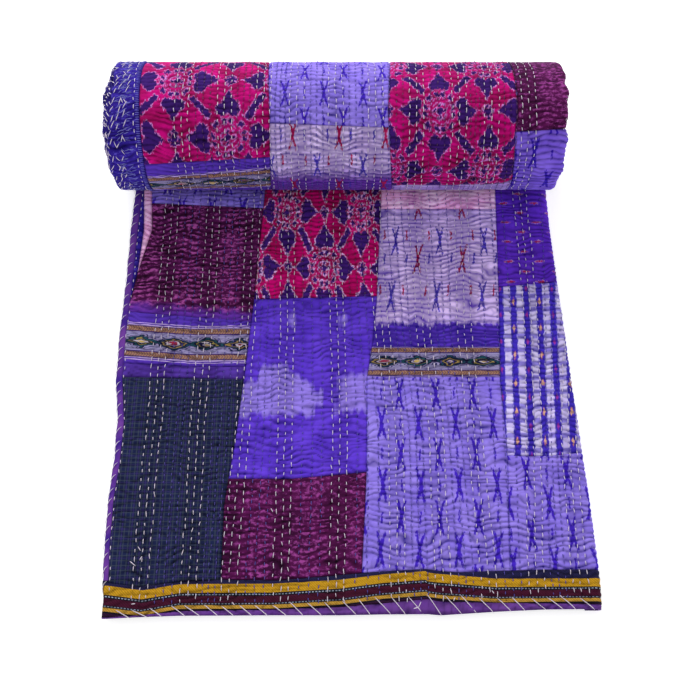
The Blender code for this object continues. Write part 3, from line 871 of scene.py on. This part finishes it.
def roll_line(name, v):
    """One of the roll's lines round it at distance v, in mm; the outer two lie inside the folds
    at its ends."""
    angle = v * MM / ROLL_MEAN
    outer = outer_radius(angle)
    if name == "left":
        return (roll_end(-1, outer, angle) + SMALL_FOLD * (1 - math.pi) - 0.003) / MM
    if name == "right":
        return (roll_end(1, outer, angle) + FOLD_RADIUS * (math.pi - 1) + 0.004) / MM
    return line_at(ROLL_SEAMS[int(name[1])], v / DEGREE)


def patch_rise(u, v, edge, on_roll):
    """A patch puffs up inside its seams and dips at them; in metres."""
    dip = 1 - (1 - np.clip(edge / 2.4, 0, 1)) ** 2
    return relief(u * MM, v * MM, on_roll) * (0.48 + 0.52 * dip) + 0.55 * MM * dip


def lay_patch(patch, finish, on_roll):
    """Lay one patch: a grid between its four seams, which are solved in three rounds because a
    column leans and a row slopes, with its outermost ring turned down into the seam."""
    scale = DEGREE if on_roll else 1.0
    line = roll_line if on_roll else tail_line
    face = roll_face if on_roll else tail_face
    middle = (line_at(patch.low, 0) + line_at(patch.high, 0)) / 2 * scale
    wide = float(np.mean(line(patch.right, middle) - line(patch.left, middle)))
    centre = float(line(patch.left, middle) + wide / 2)
    tall = (line_at(patch.high, centre) - line_at(patch.low, centre)) * scale
    across = max(int(wide * MM / patch.step), 3)
    up = max(int(tall * MM / patch.step), 3)
    a = np.concatenate([[0], np.linspace(0, 1, across), [1]])[None, :]
    b = np.concatenate([[0], np.linspace(0, 1, up), [1]])[:, None]
    v = np.full((up + 2, across + 2), middle)
    for _ in range(3):
        u = line(patch.left, v) * (1 - a) + line(patch.right, v) * a
        low = line_at(patch.low, u) * scale
        high = line_at(patch.high, u) * scale
        v = low * (1 - b) + high * b
    from_side = np.minimum(u - line(patch.left, v), line(patch.right, v) - u)
    edge = np.minimum(from_side, np.minimum(v - low, high - v))
    rise = patch_rise(u, v, edge, on_roll)
    inside = np.zeros_like(u, dtype=bool)
    inside[1:-1, 1:-1] = True
    turned = np.where(inside, rise, -0.6 * MM)
    points = face(u * MM, v * MM, turned)
    # tone drives the finish's painted shade and highlight: it follows the relief's height, and
    # within 1.4 mm of each seam it is lowered, a painted shade in the seam's groove
    tone = relief(u * MM, v * MM, on_roll) / (2.3 * MM) - 0.15 * np.clip(1 - edge / 1.4, 0, 1)
    quads = grid_quads(up + 2, across + 2)
    if on_roll:
        quads = quads[:, ::-1]
    piece = make_piece(patch.name, points, quads, finish, np.stack([u, v], -1) * MM,
                       {"rise": tone, **patch.motif(u, v)})
    return piece


def sew(name, stitches, finish, width=1.0 * MM, height=0.5 * MM):
    """Many stitches as one mesh, from their paths (stitch, point, 3) and outward directions;
    every point has four corners: two at the sides, one above and one below, all drawn in at the
    two ends."""
    paths, ups = stitches
    count, steps = paths.shape[:2]
    tangent = np.gradient(paths, axis=1)
    side = unit(np.cross(tangent, ups))
    taper = np.ones(steps)
    taper[[0, -1]] = 0.35
    taper = taper[None, :, None]
    corners = np.stack([paths - side * width / 2 * taper, paths + ups * height * taper,
                        paths + side * width / 2 * taper, paths - ups * height * 0.6 * taper],
                       axis=2)
    ring = np.arange(4)
    quad = np.stack([ring, (ring + 1) % 4, (ring + 1) % 4 + 4, ring + 4], axis=-1)
    quads = (np.arange(steps - 1)[:, None, None] * 4 + quad[None]).reshape(-1, 4)
    quads = (np.arange(count)[:, None, None] * steps * 4 + quads[None]).reshape(-1, 4)
    return make_piece(name, corners, quads, finish)


def on_hearts(u, v, on_roll):
    """Whether points lie on the heart cloth, where tonal stitches are in plum thread."""
    if on_roll:
        return ((u > -246) & (u < -86) & (v < 362)) | ((u > 70) & (u < 228) & (v < 410))
    return (u > -106) & (u < 60) & (v > 406)


def on_face(face, u, v, rise):
    """Paths at (u, v) in mm and a height above the face, and their directions out of it."""
    paths = face(u * MM, v * MM, rise)
    return paths, unit(face(u * MM, v * MM, rise + MM) - paths)


def running_stitches(rows, on_roll, rng, length, gap, lift, hearts=None):
    """Paths and outward directions of running stitches along rows; a row is the array of x and
    the array of distances it passes, in mm. With hearts given, only those on or off that cloth."""
    face = roll_face if on_roll else tail_face
    starts = []
    for across, along in rows:
        place = np.arange(along[0] + rng.uniform(0, gap + length), along[-1] - length, length + gap)
        place = place + rng.normal(0, 0.7, len(place))
        middle = np.interp(place, along, across) + rng.normal(0, 0.45, len(place))
        starts.append(np.stack([middle, place, length * rng.uniform(0.62, 1.25, len(place)),
                                rng.normal(0, 0.09, len(place))], axis=-1))
    made = np.concatenate(starts)
    if hearts is not None:
        made = made[on_hearts(made[:, 0], made[:, 1], on_roll) == hearts]
    t = np.linspace(-0.5, 0.5, 5)[None, :]
    v = made[:, 1:2] + (t + 0.5) * made[:, 2:3]
    u = made[:, 0:1] + t * made[:, 2:3] * made[:, 3:4]
    rise = relief(u * MM, v * MM, on_roll) + 0.55 * MM
    smooth = np.maximum(rise, 0.55 * rise + 0.45 * rise.mean(axis=1, keepdims=True))
    rise = smooth + lift * (1 - (2 * t) ** 4) - 0.35 * MM * (np.abs(t) > 0.45)
    return on_face(face, u, v, rise)


def fold_path(s):
    """Middle of the cloth across the tail at distance s: from the top hem to the right fold, back
    along the floor, round the left fold, and between the layers to the second hem."""
    left = edge_x("left", s)
    right = edge_x("right", s) - FOLD_RADIUS
    points = []
    half = LAYER_RISE / 2
    for begin, end, z, centre, radius, way in (
            (left + 0.009, right, Z_TOP, STACK / 2, 3 * half, 1),
            (right, left + 0.0084, Z_BOTTOM, Z_BOTTOM + half, half, -1),
            (left + 0.0084, right, Z_THIRD, Z_THIRD + half, half, 1),
            (right, left + 0.0105, Z_SECOND, 0, 0, 0)):
        points += [(begin + (end - begin) * t, 0 * begin + z) for t in np.linspace(0, 1, 8)]
        if way:
            first = 1 if z == Z_TOP else -1
            points += [(end + way * radius * np.sin(angle),
                        0 * begin + centre + first * radius * np.cos(angle))
                       for angle in np.linspace(0, math.pi, 9)[1:-1]]
    return points


def folded_layers(name, begin, end, rows, thickness, finish):
    """The folded cloth itself, under the patchwork, or its woven end."""
    s = np.linspace(begin, end, rows)
    path = fold_path(s)
    points = np.stack([joined(x, near_y(x, s), z) for x, z in path], axis=1)
    length = run_length(points[rows // 2])
    uv = joined(length[None, :], s[:, None])
    # A rise of 0.3 gives the whole folded cloth nearly the full painted crease shade of its finish,
    # evenly
    piece = make_piece(name, points, grid_quads(rows, len(path)), finish, uv,
                       {"rise": np.full(points.shape[:2], 0.3)})
    skin = piece.modifiers.new("thickness", "SOLIDIFY")
    skin.thickness = thickness
    skin.offset = 0
    return piece


def end_band(name, from_line, to_line, step, finish):
    """A band across the near end of the top layer, between two lines (x, distance) in mm. "down"
    is the distance in mm below a line 10 mm above the gold stripe."""
    left = tail_line("hem", 20.0) - 6.0
    right = tail_line("fold", 20.0)
    u = np.linspace(left, right, int((right - left) * MM / step))[None, :]
    low = line_at(from_line, u)
    high = line_at(to_line, u)
    b = np.concatenate([[0], np.linspace(0, 1, max(int(np.mean(high - low) * MM / step), 3)), [1]])
    v = low * (1 - b[:, None]) + high * b[:, None]
    u = u + 0 * v
    edge = np.minimum(v - low, high - v)
    rise = patch_rise(u, v, edge + 1.0, False)
    turned = rise.copy()
    turned[[0, -1]] = -1.3 * MM
    points = tail_face(u * MM, v * MM, turned)
    # rise, the height scaled, drives the finish's painted crease shade and ridge highlight
    return make_piece(name, points, grid_quads(*u.shape), finish, np.stack([u, v], -1) * MM,
                      {"rise": rise / (2.6 * MM), "down": 10.0 + line_at(GOLD_TOP, u) - v})


def squared(angle):
    """Cosine with fuller shoulders, for a flattened round section."""
    return np.sign(np.cos(angle)) * np.abs(np.cos(angle)) ** 0.7


def side_hem(name, z, inset, begin, end, thick, finish, seed):
    """Turned and whipped side edge of one layer: a flat roll of cloth drawn in at each stitch,
    as a closed section swept along the edge."""
    s = np.arange(begin, end, 0.0025)
    width = hem_width(s)
    left = edge_x("left", s) + inset
    centres = joined(left + width / 2, near_y(left, s), z)
    angle = np.linspace(0, 2 * math.pi, 15)[:-1][None, :]
    pull = np.abs(np.sin(math.pi * s / WHIP_PITCH))[:, None] ** 0.6
    half = width[:, None] / 2 * (0.93 + 0.07 * pull)
    half = half + 0.0005 * value_noise(s / 0.011, 0 * s, seed)[:, None]
    tall = thick / 2 * (0.66 + 0.34 * pull)
    lump = 1 + 0.14 * value_noise(s[:, None] / 0.006 + angle, angle * 1.7, seed + 1)
    section = joined(squared(angle) * half, 0, np.sin(angle) * tall * lump)
    count, corners = section.shape[:2]
    row = np.arange(count - 1) * corners
    closing = np.stack([row + corners - 1, row, row + corners, row + 2 * corners - 1], axis=-1)
    height = section[..., 2] / MM
    low = height.min(axis=1, keepdims=True)
    shade = 0.2 + 0.6 * (height - low) / np.maximum(height.max(axis=1, keepdims=True) - low, 1e-6)
    down = 10.0 + column(FRONT, "x", "gold", left) / MM - s / MM
    return make_piece(name, centres[:, None] + section,
                      np.concatenate([grid_quads(count, corners), closing]), finish,
                      joined(run_length(centres)[:, None], run_length(section[count // 2])[None, :]),
                      {"rise": shade, "down": down[:, None] + 0 * shade})


def hem_whips(rng):
    """Whip stitches over the outside of the top hem, slanting away from the near edge."""
    s = np.arange(0.012, 0.60, WHIP_PITCH)
    s = (s + rng.normal(0, 0.0012, len(s)))[:, None]
    t = np.linspace(0, 1, 6)[None, :]
    angle = math.pi * (1.02 - 0.56 * t)
    place = s + 0.0130 * t
    width = hem_width(place)
    left = edge_x("left", place)
    paths = joined(left + width / 2 + squared(angle) * (width / 2 + 0.0006), near_y(left, place),
                   HEM_Z + np.sin(angle) * (HEM_THICK / 2 + 0.0009))
    return paths, unit(joined(np.cos(angle), 0 * place, np.sin(angle) + 0.4))


def near_whips(rng):
    """Long slanting whip stitches that hold the binding on along the near edge."""
    x = np.arange(-246.0, 284.0, 19.5)
    x = (x + rng.normal(0, 1.6, len(x)))[:, None]
    reach = rng.uniform(14.0, 19.0, len(x))[:, None]
    t = np.linspace(0, 1, 7)[None, :]
    u = x + reach * t
    top = line_at(BINDING_TOP, x) + rng.uniform(4.5, 8.0, len(x))[:, None]
    v = top * (1 - t) - 2.6 * t
    rise = relief(u * MM, v * MM, False) + (0.9 - 1.5 * t ** 6) * MM
    rise = rise + 0.4 * MM * np.sin(math.pi * t)
    paths = tail_face(u * MM, v * MM, rise)
    ups = np.broadcast_to(np.array([0.0, -0.15, 1.0]), paths.shape)
    return paths, ups


def turn_angles():
    """Angles along the whole spiral, with steps of about 4 mm on every turn."""
    angle = [0.0]
    while angle[-1] < 2 * math.pi * TURNS - 0.4:
        angle.append(angle[-1] + 0.0035 / max(outer_radius(angle[-1]), 0.010))
    return np.array(angle)


class TurnEdge(NamedTuple):
    """Edge of one layer, or of a fold, seen at an end of the roll: its side, how deep below the
    turn's outside its middle lies, half its thickness, how far it bulges out, how far it stands
    back, and the size of its lumps."""
    side: int
    depth: float
    half: float
    reach: float
    inset: float
    lumps: float
    seed: int


TURN_EDGES = {
    "turns_left_fold": TurnEdge(-1, 0.0040, 0.0027, 0.0026, 0.0012, 0.0007, 51),
    "turns_left_hem_b": TurnEdge(-1, 0.0074, 0.0018, 0.0024, 0.0004, 0.0006, 53),
    "turns_left_hem_a": TurnEdge(-1, 0.0093, 0.0019, 0.0024, 0.0, 0.0006, 55),
    "turns_right": TurnEdge(1, 0.0070, 0.0056, 0.0046, 0.0006, 0.0007, 57),
}


def edge_point(edge, angle, phi, extra=0.0):
    """A point on a turn's edge: phi goes over its bulge from the inside, -pi/2, to the outside."""
    outer = outer_radius(angle)
    radius = np.maximum(outer - edge.depth, 0.0015)
    arc = (ROLL_RADIUS - TURN_PITCH * angle / (4 * math.pi)) * angle
    lump = edge.lumps * value_noise(arc / 0.0058 + 0.8 * phi, phi * 0.9 + 0 * arc, edge.seed)
    lump = lump + 0.6 * edge.lumps * value_noise(arc / 0.0029, phi * 1.4 + 0 * arc, edge.seed + 1)
    x = roll_end(edge.side, radius, angle) - edge.side * (edge.reach + edge.inset)
    x = x + edge.side * (np.cos(phi) * (edge.reach + lump + extra))
    point = roll_point(x, radius + np.sin(phi) * (edge.half + lump + extra), angle)
    point[..., 2] = np.maximum(point[..., 2], 0.0002)
    return point, arc, lump


def turn_edge(name, edge, finish):
    """The whole spiral of one edge, with a skirt into the roll on both its sides."""
    angle = turn_angles()[:, None]
    phi = np.linspace(-math.pi / 2, math.pi / 2, 9)[None, :]
    points, arc, lump = edge_point(edge, angle + 0 * phi, phi + 0 * angle)
    sides = [points[:, :1] - [edge.side * 0.012, 0, 0], points,
             points[:, -1:] - [edge.side * 0.012, 0, 0]]
    # Painted shade and highlight: each edge is darker towards the turns beside it and darkest on the
    # skirts, lighter on its bulge and its lumps
    tone = np.pad(0.40 + 0.50 * np.cos(phi) + 300 * lump, ((0, 0), (1, 1)), constant_values=0.0)
    uv = joined(arc[:, :1], np.arange(11)[None, :] * 0.0012)
    quads = grid_quads(len(angle), 11)
    if edge.side > 0:
        quads = quads[:, ::-1]
    return make_piece(name, np.concatenate(sides, axis=1), quads, finish, uv, {"rise": tone})


def edge_whips(edge, first, last, pitch, slant, low, rng):
    """Whip stitches over a turn's edge, between two angles in degrees, each from phi = low to
    the outside."""
    arc = np.arange(math.radians(first), math.radians(last), pitch * MM / ROLL_MEAN)
    arc = (arc + rng.normal(0, 0.02, len(arc)))[:, None]
    t = np.linspace(0, 1, 5)[None, :]
    phi = low + (1.5 - low) * t + rng.normal(0, 0.12, arc.shape)
    angle = arc + slant * MM / ROLL_MEAN * (t - 0.5) * rng.uniform(0.7, 1.2, arc.shape)
    paths = edge_point(edge, angle, phi, 0.0009)[0]
    ups = edge_point(edge, angle, phi, 0.0019)[0] - paths
    return paths, unit(ups)


def short_threads(u, v, du, dv, lift):
    """Single short threads lying on the roll's face, from (u, v) to (u + du, v + dv), in mm."""
    t = np.linspace(0, 1, 4)[None, :]
    u = u[:, None] + du[:, None] * t
    v = v[:, None] + dv[:, None] * t
    rise = relief(u * MM, v * MM, True) + (0.55 + lift * np.sin(math.pi * t)) * MM
    return on_face(roll_face, u, v, rise)


def soft_area(name, size, energy, place, turn):
    lamp = bpy.data.lights.new(name, "AREA")
    lamp.shape = "RECTANGLE"
    lamp.size, lamp.size_y = size
    lamp.energy = energy
    held = bpy.data.objects.new(name, lamp)
    held.location = place
    held.rotation_euler = Euler([math.radians(t) for t in turn])
    bpy.context.scene.collection.objects.link(held)


def studio():
    """White paper sweep, camera and lights: soft from above, with a key from behind the roll
    that rakes across the ridges."""
    scene = bpy.context.scene
    scene.view_settings.view_transform = "Standard"
    paper = Look("white_paper")
    shader = paper.put("BsdfPrincipled", {"Base Color": (0.9, 0.9, 0.9, 1), "Roughness": 0.9})
    glow = paper.put("Emission", {"Color": (1, 1, 1, 1), "Strength": 0.55})
    paper.put("OutputMaterial", {"Surface": paper.put("AddShader", {0: shader, 1: glow})})
    mesh = bpy.data.meshes.new("floor")
    mesh.from_pydata([(-6, -6, 0), (6, -6, 0), (6, 6, 0), (-6, 6, 0)], [], [(0, 1, 2, 3)])
    mesh.materials.append(paper.made)
    floor = bpy.data.objects.new("floor", mesh)
    scene.collection.objects.link(floor)
    world = bpy.data.worlds.new("studio")
    world.use_nodes = True
    sky = world.node_tree.nodes["Background"].inputs
    sky[0].default_value = (1, 1, 1, 1)
    sky[1].default_value = 0.55
    scene.world = world
    soft_area("key", (1.1, 0.7), 30, (-0.40, 1.90, 1.20), (-58, 0, -12))
    soft_area("front", (2.4, 1.6), 7, (0.2, -1.3, 2.0), (34, 0, 0))
    view = bpy.data.cameras.new("camera")
    view.lens = 36 * FOCAL_PIXELS / FRAME_PIXELS
    view.sensor_width = 36
    view.clip_start = 0.02
    eye = bpy.data.objects.new("camera", view)
    eye.location = EYE
    eye.rotation_euler = (math.radians(90 - LOOK_DOWN), 0, 0)
    scene.collection.objects.link(eye)
    scene.camera = eye


def all_rows(on_roll):
    """Rows of white triples and of the tonal stitches between them, as (x, distance) in mm."""
    along = np.arange(*((2.0, 300 * DEGREE, 4.0) if on_roll else (11.0, 600.0, 4.0)))
    middles = [middle / MM + 0.9 * value_noise(along / 60, along * 0, 61 + number)
               for number, middle in enumerate(triple_middles(along * MM, on_roll))]
    gap = ROW_PITCH / MM
    white = [(middle + shift, along) for middle in middles for shift in (-gap, 0, gap)]
    tonal = [(one + gap + (two - one - 2 * gap) * part, along)
             for one, two in zip(middles, middles[1:]) for part in (0.25, 0.5, 0.75)]
    return white, tonal


studio()
finishes = {name: printed_cotton(name, cloth) for name, cloth in CLOTHS.items()}
finishes["plaid"] = plaid_cotton("plaid")
finishes["ikat_band"] = ikat_band("ikat_band")
woven = striped_weave(
    "border_stripes",
    ((0, "#1c1a3e"), (10.0, "#b0841a"), (20.0, "#12101c"), (23.7, "#3c0c24"), (31.2, "#12101c"),
     (33.8, "#a88030"), (37.8, "#12101c"), (39.8, "#2c1030"), (42.0, "#241026")),
    54, ((21.4, 22.6, "#8c94a8"), (31.9, 32.9, "#7c8498")))

layers = folded_layers("layers", 0.0415, TAIL_LENGTH - 0.004, 70, 0.0017, finishes["backing"])
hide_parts("quilt")
sliver_pieces = [lay_patch(item, finishes[item.cloth], False)
                 for item in TAIL_PATCHES[:2]]
for item in TAIL_PATCHES[2:]:
    lay_patch(item, finishes[item.cloth], False)
for item in ROLL_PATCHES:
    lay_patch(item, finishes[item.cloth], True)

ends = folded_layers("border_layers", 0.0035, 0.0410, 12, 0.0018, finishes["border_ground"])
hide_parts("end_border")
border = end_band("border", BINDING_TOP, BORDER_TOP, 0.0014, woven)
near = end_band("near_binding", tuple((x, -1.4) for x, _ in BINDING_TOP), BINDING_TOP, 0.0016,
                finishes["purple_binding"])
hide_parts("end_binding")

hem_top = side_hem("hem_top", HEM_Z, 0.0, 0.040, 0.615, HEM_THICK, finishes["purple_hem_lit"], 41)
corner = side_hem("hem_corner", HEM_Z, -0.0004, 0.002, 0.0415, 0.0040, woven, 45)
hem_lower = side_hem("hem_lower", Z_SECOND - 0.0002, 0.0015, 0.004, 0.615, 0.0026,
                     finishes["ultramarine"], 43)
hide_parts("side_binding_top")
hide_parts("side_binding_lower")
for name, edge in TURN_EDGES.items():
    made = turn_edge(name, edge, finishes["plum" if edge.side > 0 else "ultramarine"])

rng = np.random.default_rng(7)
thread = thread_material("stitch_thread", "#f6e8fa")
tone = thread_material("tonal_thread", "#4c3cb0")
plum_thread = thread_material("plum_thread", "#5c1060")
pale_blue = thread_material("blue_thread", "#8484dc")
for place, on_roll in (("tail", False), ("roll", True)):
    white_rows, tonal_rows = all_rows(on_roll)
    sew(f"stitches_{place}", running_stitches(white_rows, on_roll, rng, *WHITE), thread)
    for kind, hearts, finish in (("tonal", False, tone), ("plum", True, plum_thread)):
        sew(f"{kind}_stitches_{place}",
            running_stitches(tonal_rows, on_roll, rng, *TONAL, hearts), finish)
sew("whips_near", near_whips(rng), thread)
sew("whips_hem", hem_whips(rng), thread)
for name, key, reach, pitch, slant, low in (
        ("whips_fold", "turns_left_fold", (20, 1000), 15.0, 9.0, -0.6),
        ("whips_turns_b", "turns_left_hem_b", (20, 1000), 27.0, 7.0, -0.6),
        ("whips_turns_a", "turns_left_hem_a", (20, 1000), 23.0, 8.0, -0.6),
        ("whips_right", "turns_right", (184, 228), 6.0, 6.0, 0.5)):
    sew(name, edge_whips(TURN_EDGES[key], *reach, pitch, slant, low, rng), thread)
ladder = np.arange(0.0, ROLL_SEWN, 2.9)
seam = roll_line("s0", ladder)
sew("ladder_stitches",
    short_threads(seam - 5.8, ladder, 5.2 + 0 * seam, rng.normal(0.3, 0.25, len(seam)), 0.5),
    thread_material("ladder_thread", "#6c66d8"), 1.1 * MM)
row = np.arange(0.0, ROLL_SEWN, 4.0)
sew("stitches_roll_end",
    running_stitches([(roll_line("s0", row) - 7.2, row)], True, rng, 5.4, 4.6, 0.0005),
    thread, 1.1 * MM)
for place, inward in enumerate((1.5, 9.0, 16.5)):
    v = np.arange(4.0 * place, ROLL_SEWN, 11.0)
    v = v + rng.normal(0, 1.6, len(v))
    slope = np.where(rng.uniform(0, 1, len(v)) > 0.2, -1.0, 0.8) * rng.uniform(0.7, 1.15, len(v))
    sew(f"whips_roll_{place}", short_threads(
        rim_at(v) + inward + rng.normal(0, 1.3, len(v)), v, rng.uniform(2.5, 5.5, len(v)),
        10.0 * slope, 0.8), thread)
spread = rng.uniform(0, 1, (3, 340))
sew("slanted_threads", short_threads(
    -253.5 - 18 * spread[0], ROLL_SEWN * spread[1], -4.5 - 3.5 * spread[2],
    rng.normal(1.6, 2.0, 340), 0.3), pale_blue, 0.8 * MM, 0.4 * MM)
row = np.arange(20.0, 604.0, 4.0)
sew("stitches_hem",
    running_stitches([(tail_line("hem", row) + 1.5, row)], False, rng, 4.4, 7.0, 0.0005), thread)
x, from_front, across, along = (part[:, None] for part in LOOSE.values())
t = np.linspace(0, 1, 5)[None, :]
u = x + across * t
v = from_front + along * t
paths = tail_face(u * MM, v * MM, relief(u * MM, v * MM, False) + 1.3 * MM)
sew("loose_stitches", (paths, np.broadcast_to(np.array([0.0, 0.0, 1.0]), paths.shape)), thread,
    1.1 * MM)
